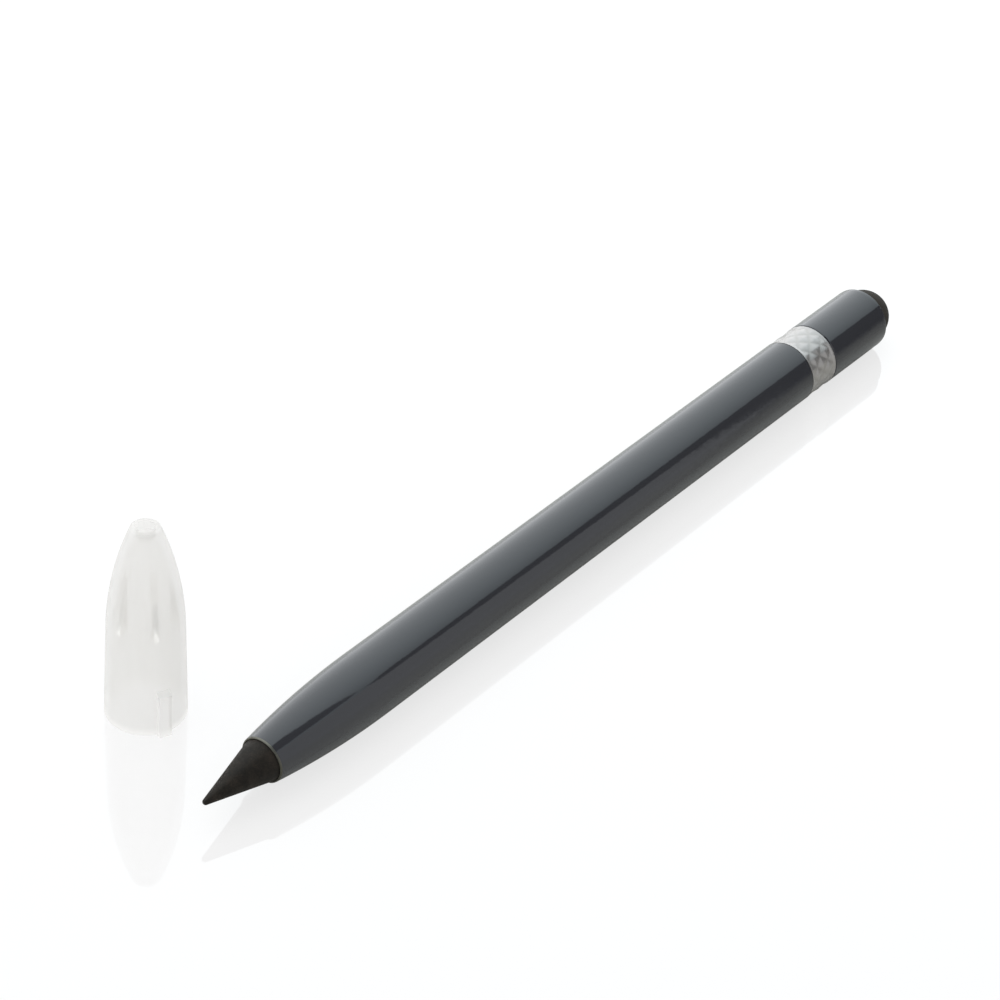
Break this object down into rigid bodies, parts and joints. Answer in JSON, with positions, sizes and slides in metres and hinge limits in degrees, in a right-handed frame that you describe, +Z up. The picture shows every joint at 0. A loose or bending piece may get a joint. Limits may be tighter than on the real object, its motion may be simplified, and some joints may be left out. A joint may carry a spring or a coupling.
{
  "type": "inkless metal pencil",
  "caption": "Slim metal pencil with a graphite-alloy writing point, a knurled band, a rubber eraser in the tail and a translucent push-on cap standing beside it.",
  "frame": {"origin": "on the table, under the middle of the box round the pencil and its cap", "axes": "+X along the pencil from point to eraser, +Y towards the cap, +Z up"},
  "size_m": [0.1592, 0.0332, 0.0312],
  "materials": {
    "grey_paint": "gloss dark slate-grey paint on drawn aluminium tube",
    "graphite_alloy": "matt pressed graphite alloy",
    "stud_steel": "turned, threaded",
    "turned_brass": "turned",
    "satin_aluminium": "satin silver, knurled in pyramids",
    "black_rubber": "matt black rubber",
    "frosted_plastic": "frosted translucent polypropylene"
  },
  "bodies": {
    "pencil": {"barrel": "grey_paint", "nib_holder": "turned_brass", "tail_joiner": "turned_brass", "knurled_band": "satin_aluminium", "tail_tube": "grey_paint"},
    "point": {"nib_cone": "graphite_alloy", "nib_stud": "stud_steel"},
    "eraser": {"eraser": "black_rubber"},
    "cap": {"cap": "frosted_plastic"}
  },
  "joints": [
    {"name": "nib_unscrew", "type": "slide", "parent": "pencil", "child": "point", "axis": [-1, 0, 0], "range_m": [0, 0.0105]},
    {"name": "eraser_pull", "type": "slide", "parent": "pencil", "child": "eraser", "axis": [1, 0, 0], "range_m": [0, 0.0105]},
    {"name": "cap_lift", "type": "slide", "parent": "pencil", "child": "cap", "axis": [0, 0, 1], "range_m": [0, 0.05]}
  ]
}
